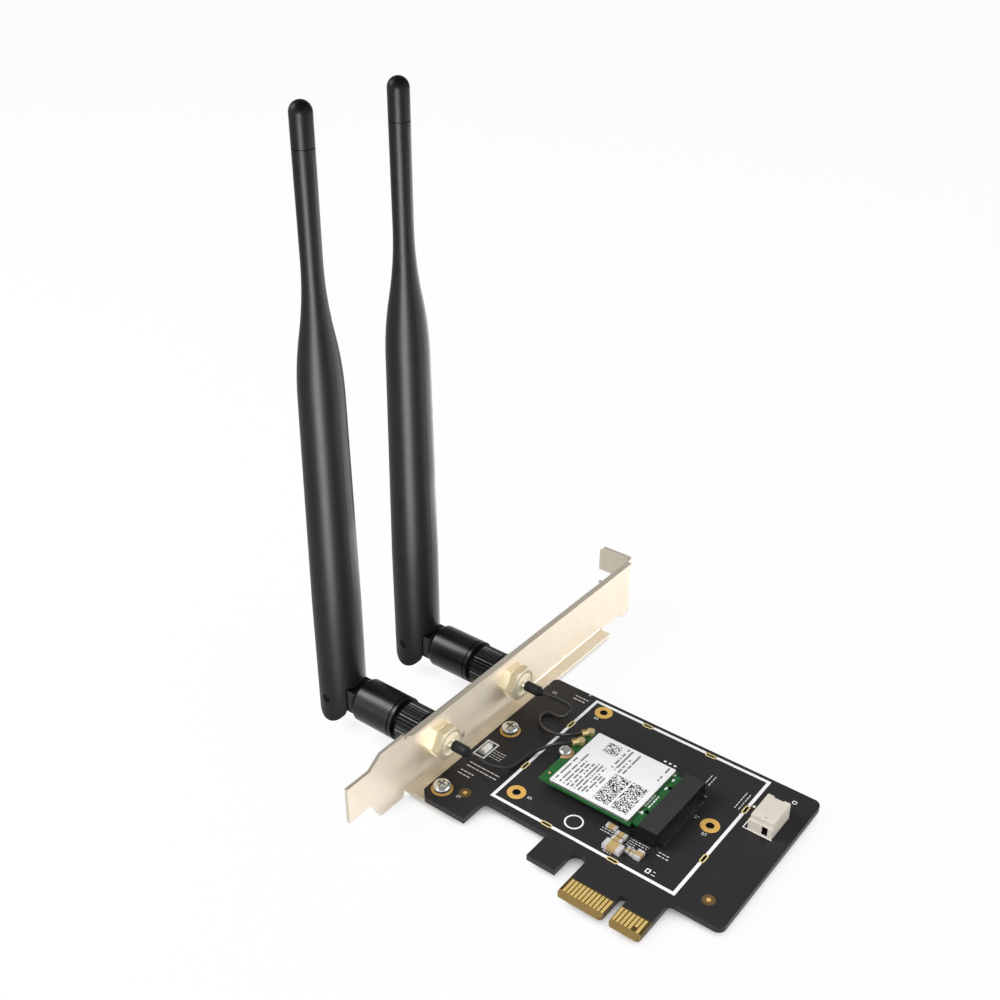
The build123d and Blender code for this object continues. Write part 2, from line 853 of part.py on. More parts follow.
with BuildPart() as module_receptacles:
    with BuildSketch(Plane.XY.offset(module_top_z)):
        with Locations(*receptacle_points):
            Circle(receptacle_base_r)
    extrude(amount=receptacle_base_height)
    with BuildSketch(Plane.XY.offset(module_top_z)):
        with Locations(*receptacle_points):
            Circle(receptacle_r)
    extrude(amount=receptacle_height)
save(module_receptacles, "module_receptacles")

with BuildPart() as module_post:
    with BuildSketch():
        with Locations((module_left, module_mid_y)):
            Circle(post_r)
            Circle(post_screw_r + thread_clearance, mode=Mode.SUBTRACT)
    extrude(amount=module_low_z)
save(module_post, "module_post")

with BuildPart() as module_screw:
    seat_z = module_top_z + pad_thick
    with BuildSketch(Plane.XY.offset(seat_z)):
        with Locations((module_left, module_mid_y)):
            Circle(post_head_r)
    extrude(amount=post_head_height)
    fillet(module_screw.edges().group_by(Axis.Z)[-1], post_head_height * head_round)
    with BuildSketch(Plane.XY.offset(seat_z)):
        with Locations((module_left, module_mid_y)):
            Circle(post_screw_r)
    extrude(amount=-(pad_thick + module_thick + post_screw_reach))
    with BuildSketch(Plane.XY.offset(seat_z + post_head_height - post_cross_depth)):
        with Locations((module_left, module_mid_y)):
            Rectangle(post_head_r, post_cross_width)
            Rectangle(post_cross_width, post_head_r)
    extrude(amount=post_cross_depth, mode=Mode.SUBTRACT)
save(module_screw, "module_screw")

with BuildPart() as socket_housing:
    half = module_width / 2
    slot_half = tongue_width / 2 + socket_slot_clearance
    slot_end_x = module_right_x + socket_slot_clearance
    block((socket_left_x, module_mid_y - half, 0), (socket_right_x, module_mid_y + half, socket_height))
    with Locations((slot_end_x, module_mid_y, module_low_z + module_thick / 2)):
        Box(
            slot_end_x - socket_left_x,
            2 * slot_half,
            module_thick + 2 * socket_slot_clearance,
            align=(Align.MAX, Align.CENTER, Align.CENTER),
            mode=Mode.SUBTRACT,
        )
    key_half = key_slot_width / 2 - socket_key_clearance
    key_y = module_mid_y + key_slot_y[0]
    key_x = module_right_x - key_slot_depth + socket_key_clearance
    block(
        (max(key_x, socket_left_x), key_y - key_half, module_low_z - socket_slot_clearance),
        (slot_end_x, key_y + key_half, module_top_z + socket_slot_clearance),
    )
    for y in (module_mid_y - half, module_mid_y + half - socket_arm_width):
        block(
            (socket_left_x - socket_arm_reach, y, 0),
            (socket_left_x, y + socket_arm_width, socket_arm_height),
        )
save(socket_housing, "socket_housing")

with BuildPart() as socket_contacts:
    with BuildSketch():
        with Locations((socket_right_x, module_mid_y)):
            with GridLocations(tail_length, module_finger_pitch, 1, module_finger_count):
                Rectangle(tail_length, tail_width, align=(Align.MIN, Align.CENTER))
    extrude(amount=tail_thick)
save(socket_contacts, "socket_contacts")

with BuildPart() as socket_hold_downs:
    for y in (module_mid_y - half, module_mid_y + half - hold_down_width):
        block(
            (socket_right_x, y, 0),
            (socket_right_x + hold_down_reach, y + hold_down_width, hold_down_height),
        )
save(socket_hold_downs, "socket_hold_downs")

# Wire header: a right-angle shell whose mouth faces the top edge of the card
header_right_x = header_x + header_width
header_mouth_y = header_y + header_depth
header_mid_x = header_x + header_width / 2
header_mid_z = header_height / 2
with BuildPart() as header_housing:
    foot_front_y = header_y - header_foot_step
    block((header_x, header_y, 0), (header_right_x, header_mouth_y, header_height))
    block(
        (header_x - header_foot_step, foot_front_y, 0),
        (header_right_x, header_mouth_y, header_foot_height),
    )
    with BuildSketch(Plane.XZ.offset(-header_mouth_y)):
        with Locations((header_mid_x, header_mid_z)):
            Rectangle(header_width - 2 * header_wall, header_height - 2 * header_wall)
    extrude(amount=header_depth - header_back, mode=Mode.SUBTRACT)
    with Locations((header_mid_x, header_mouth_y, header_height)):
        Box(
            header_lug_gap,
            header_lug_depth,
            header_wall,
            align=(Align.CENTER, Align.MAX, Align.MAX),
            mode=Mode.SUBTRACT,
        )
    with BuildSketch(Plane.XZ.offset(-foot_front_y)):
        with Locations((header_right_x - header_window_inset, header_window_low)):
            Rectangle(header_window_width, header_window_height, align=(Align.MAX, Align.MIN))
    extrude(amount=-(header_foot_step + header_window_depth), mode=Mode.SUBTRACT)
    with Locations((header_x + header_dimple_x, header_y + header_dimple_y, header_height)):
        Box(
            header_dimple_length,
            header_dimple_width,
            header_dimple_depth,
            align=(Align.CENTER, Align.CENTER, Align.MAX),
            mode=Mode.SUBTRACT,
        )
    with BuildSketch(Plane.XZ.offset(-header_mouth_y)):
        with Locations((header_mid_x, header_mid_z)):
            with GridLocations(header_pin_pitch, header_pin, header_pin_count, 1):
                Rectangle(header_pin + 2 * slip, header_pin + 2 * slip)
    extrude(amount=header_depth - header_wall, mode=Mode.SUBTRACT)
save(header_housing, "header_housing")

with BuildPart() as header_pins:
    pin_back_y = header_y + header_wall
    with BuildSketch(Plane.XZ.offset(-pin_back_y)):
        with Locations((header_mid_x, header_mid_z)):
            with GridLocations(header_pin_pitch, header_pin, header_pin_count, 1):
                Rectangle(header_pin, header_pin)
    extrude(amount=-header_pin_reach)
save(header_pins, "header_pins")


def chip_caps(center, size, height, way):
    """The corners of a chip part's two end caps and of the body between them."""
    x, y = center
    length, width = size
    cap_x = length * cap_share if way == "x" else length
    cap_y = width * cap_share if way == "y" else width
    low = (x - length / 2, y - width / 2, 0)
    high = (x + length / 2, y + width / 2, height)
    first = (low, (low[0] + cap_x, low[1] + cap_y, height))
    last = ((high[0] - cap_x, high[1] - cap_y, 0), high)
    middle_low = (first[1][0] if way == "x" else low[0], first[1][1] if way == "y" else low[1], 0)
    middle_high = (last[0][0] if way == "x" else high[0], last[0][1] if way == "y" else high[1], height)
    return first, last, (middle_low, middle_high)


with BuildPart() as chip_bodies:
    for chip in chips:
        block(*chip_caps(*chip)[2])
save(chip_bodies, "chip_bodies")

with BuildPart() as chip_terminals:
    for chip in chips:
        first_cap, last_cap, _ = chip_caps(*chip)
        block(*first_cap)
        block(*last_cap)
save(chip_terminals, "chip_terminals")

# Indicator lamp that shines at the hole in the bracket
with BuildPart() as indicator_led:
    block(
        (led_x - led_width / 2, led_y - led_length / 2, 0),
        (led_x + led_width / 2, led_y + led_length / 2, led_height),
    )
    chamfer(indicator_led.edges().filter_by(Axis.Y).sort_by(Axis.Z)[-2:].sort_by(Axis.X)[0], led_facet)
save(indicator_led, "indicator_led")


def coupling_nut(y, side):
    """The ridged nut that pulls the antenna onto its jack, hollow for the jack and the plug's collar."""
    mouth_x = nut_right_x - nut_mouth_depth
    collar_x = nut_right_x - nut_collar_length
    with BuildPart() as nut:
        with BuildSketch(Plane(origin=(nut_left_x, y, jack_z), x_dir=(0, 1, 0), z_dir=(1, 0, 0))):
            Circle(nut_r)
            with PolarLocations(nut_r, nut_ridges):
                Rectangle(nut_ridge_cut, nut_ridge_cut, rotation=45, mode=Mode.SUBTRACT)
        extrude(amount=nut_length - nut_collar_length)
        with BuildSketch(Plane(origin=(collar_x, y, jack_z), x_dir=(0, 1, 0), z_dir=(1, 0, 0))):
            Circle(nut_collar_r)
        extrude(amount=nut_collar_length)
        with BuildSketch(jack_plane(y)):
            with BuildLine():
                Polyline(
                    (nut_left_x, 0),
                    (nut_left_x, plug_stem_r + slip),
                    (nut_wall_x, plug_stem_r + slip),
                    (nut_wall_x, nut_relief_r),
                    (jack_tip_x, nut_relief_r),
                    (jack_tip_x, jack_thread_r + slip),
                    (mouth_x, jack_thread_r + slip),
                    (mouth_x, nut_mouth_r),
                    (nut_right_x, nut_mouth_r),
                    (nut_right_x, 0),
                    close=True,
                )
            make_face()
        revolve(axis=jack_axis(y), mode=Mode.SUBTRACT)
    save(nut, f"coupling_nut_{side}")


def antenna_plug(y, side):
    """The antenna's plug: a stem in the hinge base, a collar in the nut and a nose in the jack."""
    stem_x = base_right_x - plug_stem_depth
    nose_x = collar_right_x + plug_nose_length
    bore_x = nose_x - plug_bore_depth
    nose_r = jack_bore_r - plug_nose_clearance
    core = turned(
        jack_plane(y),
        jack_axis(y),
        (
            (stem_x, 0),
            (stem_x, plug_stem_r),
            (collar_left_x, plug_stem_r),
            (collar_left_x, nut_relief_r - slip),
            (collar_right_x, nut_relief_r - slip),
            (collar_right_x, nose_r),
            (nose_x, nose_r),
            (nose_x, plug_bore_r),
            (bore_x, plug_bore_r),
            (bore_x, 0),
        ),
    )
    save(core, f"plug_core_{side}")
    insulator = turned(
        jack_plane(y),
        jack_axis(y),
        (
            (bore_x, plug_socket_r + slip),
            (bore_x, plug_bore_r - slip),
            (nose_x, plug_bore_r - slip),
            (nose_x, plug_socket_r + slip),
        ),
    )
    save(insulator, f"plug_insulator_{side}")
    contact_hole_x = contact_tip_x - nut_gap
    contact = turned(
        jack_plane(y),
        jack_axis(y),
        (
            (bore_x, 0),
            (bore_x, plug_socket_r),
            (nose_x, plug_socket_r),
            (nose_x, contact_r + slip),
            (contact_hole_x, contact_r + slip),
            (contact_hole_x, 0),
        ),
    )
    save(contact, f"plug_contact_{side}")


def hinge_base(y, side):
    """The round base that turns on the jack and carries the antenna on a flat tongue."""
    chamfer_x = base_left_x + base_chamfer_length
    rim_x = base_right_x - base_rim_width
    groove_x = rim_x - base_groove_width
    groove_r = base_r - base_groove_depth
    stem_x = base_right_x - plug_stem_depth
    with BuildPart() as base:
        with BuildSketch(jack_plane(y)):
            with BuildLine():
                Polyline(
                    (base_left_x, 0),
                    (base_left_x, base_r - base_chamfer_depth),
                    (chamfer_x, base_r),
                    (groove_x, base_r),
                    (groove_x, groove_r),
                    (rim_x, groove_r),
                    (rim_x, base_r),
                    (base_right_x, base_r),
                    (base_right_x, plug_stem_r),
                    (stem_x, plug_stem_r),
                    (stem_x, 0),
                    close=True,
                )
            make_face()
        revolve(axis=jack_axis(y))
        with BuildSketch(Plane.XZ.offset(-(y + tongue_thick / 2))):
            with Locations((hinge_x, jack_z)):
                Circle(tongue_half_height)
                Rectangle(
                    hinge_reach + base_chamfer_length,
                    2 * tongue_half_height,
                    align=(Align.MIN, Align.CENTER),
                )
                Circle(hinge_pin_r + slip, mode=Mode.SUBTRACT)
        extrude(amount=tongue_thick)
    save(base, f"hinge_base_{side}")


def antenna(y, side):
    """The antenna: a forked hollow shell, its hinge pin, the whip inside it and the tip."""
    upright = Plane(origin=(hinge_x, y, 0), x_dir=(1, 0, 0), z_dir=(0, -1, 0))
    mast = Axis((hinge_x, y, 0), (0, 0, 1))
    half_pin = shell_r - pin_recess
    prong_straight = prong_reach - prong_end_r
    low_z = jack_z - prong_reach
    bend_z = (seam_z + neck_z) / 2
    bend_r = (seam_r + neck_r) / 2
    with BuildPart() as shell:
        with BuildSketch(upright):
            with BuildLine():
                Polyline((0, low_z), (shell_r, low_z), (shell_r, shell_straight), (seam_r, seam_z))
                flare = TangentArc((seam_r, seam_z), (bend_r, bend_z), tangent=(0, 1))
                TangentArc(flare @ 1, (neck_r, neck_z), tangent=flare % 1)
                Polyline(
                    (neck_r, neck_z),
                    (tip_joint_r, tip_joint_z),
                    (whip_bore_r, tip_joint_z),
                    (whip_bore_r, shell_bore_top),
                    (shell_bore_r, shell_bore_top),
                    (shell_bore_r, shell_floor_z),
                    (0, shell_floor_z),
                    (0, low_z),
                )
            make_face()
        revolve(axis=mast)
        with BuildSketch(Plane.XY.offset(fork_roof_z)):
            with Locations((hinge_x, y)):
                Rectangle(4 * shell_r, 2 * fork_half)
        extrude(amount=low_z - fork_roof_z, mode=Mode.SUBTRACT)
        with BuildSketch(Plane.XZ.offset(-(y + 2 * shell_r))):
            with Locations((hinge_x, jack_z)):
                Rectangle(4 * shell_r, 2 * prong_reach, align=(Align.CENTER, Align.MAX))
                Rectangle(
                    2 * prong_end_r,
                    prong_straight,
                    align=(Align.CENTER, Align.MAX),
                    mode=Mode.SUBTRACT,
                )
            with Locations((hinge_x, jack_z - prong_straight)):
                Circle(prong_end_r, mode=Mode.SUBTRACT)
        extrude(amount=4 * shell_r, mode=Mode.SUBTRACT)
        with BuildSketch(Plane.XZ.offset(-(y + 2 * shell_r))):
            with Locations((hinge_x, jack_z)):
                Circle(hinge_pin_r + slip / 2)
        extrude(amount=4 * shell_r, mode=Mode.SUBTRACT)
    save(shell, f"antenna_shell_{side}")
    with BuildPart() as pin:
        with BuildSketch(Plane.XZ.offset(-(y + half_pin))):
            with Locations((hinge_x, jack_z)):
                Circle(hinge_pin_r)
        extrude(amount=2 * half_pin)
    save(pin, f"hinge_pin_{side}")
    whip = turned(
        upright,
        mast,
        (
            (0, shell_floor_z),
            (shell_bore_r - slip, shell_floor_z),
            (shell_bore_r - slip, shell_floor_z + whip_disc_thick),
            (whip_sleeve_r, shell_floor_z + whip_disc_thick),
            (whip_sleeve_r, shell_floor_z + whip_sleeve_length),
            (whip_r, shell_floor_z + whip_sleeve_length),
            (whip_r, whip_top),
            (0, whip_top),
        ),
    )
    save(whip, f"radiator_{side}")
    groove_z = tip_joint_z + tip_groove
    dome_z = tip_top_z - tip_joint_r
    with BuildPart() as tip:
        with BuildSketch(upright):
            with BuildLine():
                Polyline(
                    (0, tip_joint_z - tip_spigot_length),
                    (whip_bore_r - slip, tip_joint_z - tip_spigot_length),
                    (whip_bore_r - slip, tip_joint_z),
                    (tip_joint_r - tip_groove, tip_joint_z),
                    (tip_joint_r - tip_groove, groove_z),
                    (tip_joint_r, groove_z),
                    (tip_joint_r, dome_z),
                )
                TangentArc((tip_joint_r, dome_z), (0, tip_top_z), tangent=(0, 1))
                Line((0, tip_top_z), (0, tip_joint_z - tip_spigot_length))
            make_face()
        revolve(axis=mast)
    save(tip, f"antenna_tip_{side}")


for side, y in jack_sides.items():
    coupling_nut(y, side)
    antenna_plug(y, side)
    hinge_base(y, side)
    antenna(y, side)
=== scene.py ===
"""A plug-in wireless network card on a white studio floor.

The script adds the card's finishes, print and cables, and the studio's lamps and camera.
Lengths are millimetres in the card's own frame, made metres by MM where Blender needs them.
"""

import math

import bpy
from mathutils import Matrix, Vector


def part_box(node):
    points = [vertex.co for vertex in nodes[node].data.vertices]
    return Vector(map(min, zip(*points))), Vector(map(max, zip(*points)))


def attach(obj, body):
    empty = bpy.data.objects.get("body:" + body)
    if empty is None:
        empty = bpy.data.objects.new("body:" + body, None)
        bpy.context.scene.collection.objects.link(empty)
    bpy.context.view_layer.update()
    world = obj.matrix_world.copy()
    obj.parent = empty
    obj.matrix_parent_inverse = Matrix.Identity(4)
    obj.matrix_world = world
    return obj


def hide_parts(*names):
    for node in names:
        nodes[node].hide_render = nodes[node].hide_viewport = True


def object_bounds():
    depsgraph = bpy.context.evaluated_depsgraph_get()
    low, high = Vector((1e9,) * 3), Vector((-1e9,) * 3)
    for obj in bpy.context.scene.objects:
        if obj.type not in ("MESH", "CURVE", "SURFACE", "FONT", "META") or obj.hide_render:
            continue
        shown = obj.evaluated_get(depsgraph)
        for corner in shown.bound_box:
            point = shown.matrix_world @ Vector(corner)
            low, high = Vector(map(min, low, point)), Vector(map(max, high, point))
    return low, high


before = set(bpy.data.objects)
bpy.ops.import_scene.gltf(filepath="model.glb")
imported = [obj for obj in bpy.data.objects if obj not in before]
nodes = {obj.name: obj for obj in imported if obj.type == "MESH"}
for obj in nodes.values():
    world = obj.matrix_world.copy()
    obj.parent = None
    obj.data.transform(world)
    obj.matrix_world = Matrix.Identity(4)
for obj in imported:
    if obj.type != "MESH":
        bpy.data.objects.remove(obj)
cad_low, cad_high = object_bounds()
MM = 0.001
SIDES = ("front", "rear")


def screen(red, green, blue):
    """A colour as it looks on a screen, 0 to 255, as the linear colour that a shader takes."""
    parts = [c / 255 for c in (red, green, blue)]
    linear = [c / 12.92 if c < 0.04045 else ((c + 0.055) / 1.055) ** 2.4 for c in parts]
    return (*linear, 1.0)


class Reading:
    """A value on a shader socket; arithmetic on it adds Math nodes to its finish."""

    def __init__(self, finish, socket):
        self.finish = finish
        self.socket = socket

    def math(self, operation, *others):
        values = dict(enumerate((self, *others)))
        return self.finish.node("ShaderNodeMath", {"operation": operation}, values)

    def __add__(self, other):
        return self.math("ADD", other)

    def __sub__(self, other):
        return self.math("SUBTRACT", other)

    def __mul__(self, other):
        return self.math("MULTIPLY", other)

    def __truediv__(self, other):
        return self.math("DIVIDE", other)

    def __gt__(self, other):
        return self.math("GREATER_THAN", other)

    def __lt__(self, other):
        return self.math("LESS_THAN", other)

    def __and__(self, other):
        return self.math("MINIMUM", other)

    def __or__(self, other):
        return self.math("MAXIMUM", other)

    def floor(self):
        return self.math("FLOOR")

    __radd__ = __add__
    __rmul__ = __mul__


class Finish:
    """One material: a Principled shader with nodes made as its recipe asks for them."""

    def __init__(self, name, **constants):
        self.material = bpy.data.materials.new(name)
        self.material.use_nodes = True
        self.tree = self.material.node_tree
        self.shader = self.tree.nodes["Principled BSDF"]
        self.set(**constants)

    def feed(self, socket, value):
        """Links a reading to a socket, or sets the socket to a plain value."""
        if isinstance(value, Reading):
            self.tree.links.new(value.socket, socket)
        else:
            socket.default_value = value

    def set(self, **values):
        """Sets or links the shader's sockets, with _ for the spaces in their names."""
        for name, value in values.items():
            self.feed(self.shader.inputs[name.replace("_", " ")], value)

    def node(self, kind, settings=None, inputs=None, output=0):
        """A node with its settings, then the values or links of its sockets; gives one output."""
        made = self.tree.nodes.new(kind)
        for name, value in (settings or {}).items():
            setattr(made, name, value)
        for name, value in (inputs or {}).items():
            self.feed(made.inputs[name], value)
        return Reading(self, made.outputs[output])

    def spot(self, stretch=(1, 1, 1)):
        """Object coordinates in millimetres, stretched along the axes."""
        place = self.node("ShaderNodeTexCoord", output="Object")
        scale = tuple(part / MM for part in stretch)
        return self.node("ShaderNodeVectorMath", {"operation": "MULTIPLY"}, {0: place, 1: scale})

    def axes(self):
        """The three object coordinates in millimetres, as numbers."""
        spot = self.spot()
        return [self.node("ShaderNodeSeparateXYZ", inputs={0: spot}, output=i) for i in range(3)]

    def noise(self, scale, detail=2.0, stretch=(1, 1, 1)):
        """Cloudy noise from 0 to 1, with scale in features per millimetre."""
        inputs = {"Vector": self.spot(stretch), "Scale": scale, "Detail": detail}
        return self.node("ShaderNodeTexNoise", inputs=inputs)

    def scatter(self, **seed):
        """A number from 0 to 1 that is picked anew for each value W or each pair Vector."""
        dimensions = "1D" if "W" in seed else "2D"
        settings = {"noise_dimensions": dimensions}
        return self.node("ShaderNodeTexWhiteNoise", settings, seed, output="Value")

    def blend(self, factor, first, second):
        """One colour going over into another."""
        settings = {"data_type": "RGBA", "clamp_factor": True}
        return self.node("ShaderNodeMix", settings, {0: factor, 6: first, 7: second}, output=2)

    def tones(self, factor, dark, light):
        """One screen colour going over into another."""
        return self.blend(factor, screen(*dark), screen(*light))

    def paint(self, mask, ground, colour):
        """A ground with one screen colour on it where a mask is 1."""
        return self.blend(mask, ground, screen(*colour))

    def bump(self, height, depth, strength=1.0):
        """Fine relief on the surface, depth in millimetres."""
        inputs = {"Height": height, "Distance": depth * MM, "Strength": strength}
        self.set(Normal=self.node("ShaderNodeBump", inputs=inputs))


def inside(reading, low, high):
    """1 where a reading lies between two values."""
    return (reading > low) & (reading < high)


def any_of(masks):
    """1 where any one of some masks is 1."""
    whole, *others = masks
    for mask in others:
        whole = whole | mask
    return whole


def between(limits, factor):
    """A value that goes from the first limit to the second one."""
    low, high = limits
    return low + (high - low) * factor


def reach(x, y, place):
    """The distance from a place, seen from above."""
    off_x, off_y = x - place[0], y - place[1]
    return (off_x * off_x + off_y * off_y).math("SQRT")


# Clouds that the tones and the gloss of every surface follow, in features per millimetre
cloud_detail = 3
plain_cloud = 0.35
plated_cloud = 0.4


def plain_finish(name, dark, light, rough, grain, depth, specular):
    """A moulded or coated surface: two close tones, uneven gloss and a fine grain."""
    finish = Finish(name, Specular_IOR_Level=specular)
    cloud = finish.noise(plain_cloud, cloud_detail)
    finish.set(Base_Color=finish.tones(cloud, dark, light), Roughness=between(rough, cloud))
    finish.bump(finish.noise(grain), depth)
    return finish


def plate(finish, rough, grain, depth, stretch=(1, 1, 1)):
    """Uneven gloss and fine drawing marks of plated metal; gives the clouds for its tones."""
    cloud = finish.noise(plated_cloud, cloud_detail)
    marks = finish.noise(grain, cloud_detail, stretch)
    finish.set(Roughness=between(rough, 0.5 * cloud + 0.5 * marks))
    finish.bump(marks, depth)
    return cloud


def plated_finish(name, dark, light, rough, grain, depth, metal, stretch=(1, 1, 1)):
    """Plated metal in two close tones."""
    finish = Finish(name, Metallic=metal)
    cloud = plate(finish, rough, grain, depth, stretch)
    finish.set(Base_Color=finish.tones(cloud, dark, light))
    return finish


# Places on the board that its finish follows
aiming_dots = ((-48.2, 12.0), (15.0, 18.7))
aiming_ring = (0.5, 1.55)
board_top_from = -0.1
tongue_left = -13.0
tongue_top = 5.7
bevel_top = 1.28


def solder_mask():
    """Black mask over a fibre weave, dim rings at the aiming dots and the bare contact tongue."""
    weave_scale, weave_stretch = 2.2, 0.25
    dim_gold, bare_fibre, bevel_gold = (102, 82, 52), (78, 64, 24), (132, 108, 60)
    finish = Finish("solder_mask", Specular_IOR_Level=0.25)
    x, y, z = finish.axes()
    cloud = finish.noise(scale=0.12, detail=cloud_detail)
    warp = finish.noise(weave_scale, stretch=(1, weave_stretch, 1))
    weft = finish.noise(weave_scale, stretch=(weave_stretch, 1, 1))
    ground = finish.tones(cloud, (38, 37, 39), (47, 45, 46))
    for dot in aiming_dots:
        ring = inside(reach(x, y, dot), *aiming_ring) & (z > board_top_from)
        ground = finish.paint(ring, ground, dim_gold)
    tongue = x > tongue_left
    ground = finish.paint((y < tongue_top) & tongue, ground, bare_fibre)
    ground = finish.paint((y < bevel_top) & tongue, ground, bevel_gold)
    finish.set(Base_Color=ground, Roughness=between((0.36, 0.46), cloud))
    finish.bump(warp + weft, depth=0.012, strength=0.5)
    return finish


# The label's near corner, its width and height, and the level that only its top lies above
label_left, label_low = -32.5, 24.8
label_width, label_height = 22.4, 21.5
label_top_from = 3.9
# Bars of uneven length: where a row lies across the label and where it starts and ends along it,
# as shares of the label; pitches are hundredths of its height
title_row = (0.03, 0.02, 0.49)
title_pitch = 3.1
label_rows = (
    (0.094, 0.04, 0.62),
    (0.145, 0.04, 0.55),
    (0.19, 0.04, 0.5),
    (0.235, 0.05, 0.52),
    (0.28, 0.05, 0.55),
    (0.325, 0.05, 0.56),
    (0.37, 0.06, 0.54),
    (0.41, 0.08, 0.4),
    (0.45, 0.15, 0.44),
    (0.414, 0.59, 0.97),
    (0.463, 0.58, 0.96),
    (0.515, 0.56, 0.82),
    (0.565, 0.58, 0.95),
    (0.92, 0.72, 0.98),
)
row_pitch = 2.2
row_seed = 17
bar_width = 0.022
bar_gaps = 0.22
# Blocks of scattered cells: limits across and along as shares, and cells in thousandths
label_blocks = (
    (0.19, 0.365, 0.755, 0.94, 9.7),
    (0.515, 0.715, 0.055, 0.53, 11.8),
    (0.739, 0.939, 0.055, 0.53, 11.8),
)
cell_gaps = 0.5


def label_paper():
    """White coated paper with rows of short grey bars and blocks of scattered cells."""
    bar_grey, cell_black = (120, 120, 124), (36, 36, 40)
    finish = Finish("label_paper", Specular_IOR_Level=0.35, Roughness=0.42)
    x, y, z = finish.axes()
    across = (x - label_left) / label_width
    along = (y - label_low) / label_height
    top = z > label_top_from

    def words(row, start, end, pitch, seed):
        """A row of bars of uneven length."""
        pick = finish.scatter(W=(along * 100 / pitch + seed).floor())
        line = inside(across, row, row + bar_width) & inside(along, start, end)
        return line & (pick > bar_gaps)

    def cells(left, right, low, high, size):
        """A block of scattered dark cells."""
        cell = {0: (across * 1000 / size).floor(), 1: (along * 1000 / size).floor()}
        pick = finish.scatter(Vector=finish.node("ShaderNodeCombineXYZ", inputs=cell))
        return inside(across, left, right) & inside(along, low, high) & (pick > cell_gaps)

    lines = [words(*title_row, title_pitch, 0)]
    for number, row in enumerate(label_rows):
        lines.append(words(*row, row_pitch, row_seed * number))
    blocks = any_of([cells(*block) for block in label_blocks])
    cloud = finish.noise(scale=0.8, detail=cloud_detail)
    paper = finish.tones(cloud, (238, 238, 240), (246, 246, 247))
    inked = finish.paint(any_of(lines) & top, paper, bar_grey)
    finish.set(Base_Color=finish.paint(blocks & top, inked, cell_black))
    return finish


# Places on the radio module that its finishes follow
module_face_from = 3.2
vias_from_x = -10.2
via_radius = 0.14
vias_per_mm = 0.9
bare_dot = (-34.2, 27.3)
bare_dot_radius = 0.36
notch_copper_to_x = -30.0


def module_mask():
    """Green mask with small copper vias at the socket end and one bare copper dot."""
    via_gold, dot_copper = (150, 150, 96), (214, 160, 118)
    finish = Finish("module_mask", Specular_IOR_Level=0.3)
    x, y, z = finish.axes()
    cloud = finish.noise(scale=0.6, detail=cloud_detail)
    face = z > module_face_from
    inputs = {"Vector": finish.spot(), "Scale": vias_per_mm, "Randomness": 1.0}
    via = finish.node("ShaderNodeTexVoronoi", {"feature": "F1"}, inputs) < via_radius
    ground = finish.tones(cloud, (26, 84, 40), (44, 108, 56))
    ground = finish.paint(via & (x > vias_from_x) & face, ground, via_gold)
    dot = (reach(x, y, bare_dot) < bare_dot_radius) & face
    finish.set(
        Base_Color=finish.paint(dot, ground, dot_copper),
        Roughness=between((0.34, 0.46), cloud),
    )
    finish.bump(finish.noise(scale=3.0), depth=0.008)
    return finish


def module_copper():
    """Gold of the module's edge contacts, going over to bare copper round the screw notch."""
    finish = Finish("module_copper", Metallic=0.4)
    cloud = plate(finish, rough=(0.36, 0.5), grain=3.0, depth=0.003)
    gold = finish.tones(cloud, (228, 186, 110), (240, 204, 132))
    stains = finish.noise(scale=0.9, detail=cloud_detail)
    copper = finish.tones(stains, (206, 152, 112), (228, 178, 138))
    notch = finish.axes()[0] < notch_copper_to_x
    finish.set(Base_Color=finish.blend(notch, gold, copper))
    return finish


socket_top_skin = 0.05


def socket_plastic():
    """Black moulding, matt on its flat top, with its sides painted darker than the top as shade.
    """
    side_rough, matt_more, cloud_more = 0.34, 0.2, 0.08
    side_shade_black = screen(20, 20, 21)
    finish = Finish("socket_plastic", Specular_IOR_Level=0.25)
    top = finish.axes()[2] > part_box("socket_housing")[1].z / MM - socket_top_skin
    cloud = finish.noise(plain_cloud, cloud_detail)
    top_grey = finish.tones(cloud, (44, 44, 43), (54, 54, 53))
    # One plastic: the sides' near-black is painted shade, the top's grey its lit colour; only the
    # roughness is a real difference
    finish.set(
        Base_Color=finish.blend(top, side_shade_black, top_grey),
        Roughness=side_rough + matt_more * top + cloud_more * cloud,
    )
    finish.bump(finish.noise(scale=5.0), depth=0.012)
    return finish


# The room behind the header's wire window, painted dark brown as shade: limits along x, y and z
wire_room = ((14.7, 16.35), (43.42, 45.4), (0.2, 2.86))


def header_nylon():
    """Ivory nylon, with painted shade in dark brown in the room behind the wire window."""
    window_shade_brown = (64, 50, 44)
    finish = Finish("header_nylon", Specular_IOR_Level=0.4)
    in_x, in_y, in_z = [inside(axis, *room) for axis, room in zip(finish.axes(), wire_room)]
    cloud = finish.noise(plain_cloud, cloud_detail)
    ivory = finish.tones(cloud, (214, 206, 192), (228, 221, 208))
    # The dark brown in the window's room is painted shade, not the nylon's own colour
    finish.set(
        Base_Color=finish.paint(in_x & in_y & in_z, ivory, window_shade_brown),
        Roughness=between((0.42, 0.52), cloud),
    )
    finish.bump(finish.noise(scale=5.0), depth=0.01)
    return finish


# The silvered ends of the indicator lamp: limits along y
lamp_ends = ((25.0, 25.75), (28.45, 29.2))


def lamp_resin():
    """Clear lamp resin between two silvered ends."""
    silver = (196, 196, 194)
    finish = Finish("lamp_resin", Specular_IOR_Level=0.6, Coat_Weight=0.3)
    y = finish.axes()[1]
    cloud = finish.noise(scale=1.4, detail=cloud_detail)
    resin = finish.tones(cloud, (246, 249, 249), (253, 254, 254))
    ends = any_of([inside(y, *limits) for limits in lamp_ends])
    finish.set(
        Base_Color=finish.paint(ends, resin, silver),
        Roughness=between((0.1, 0.22), cloud),
    )
    finish.bump(finish.noise(scale=2.0), depth=0.02)
    return finish


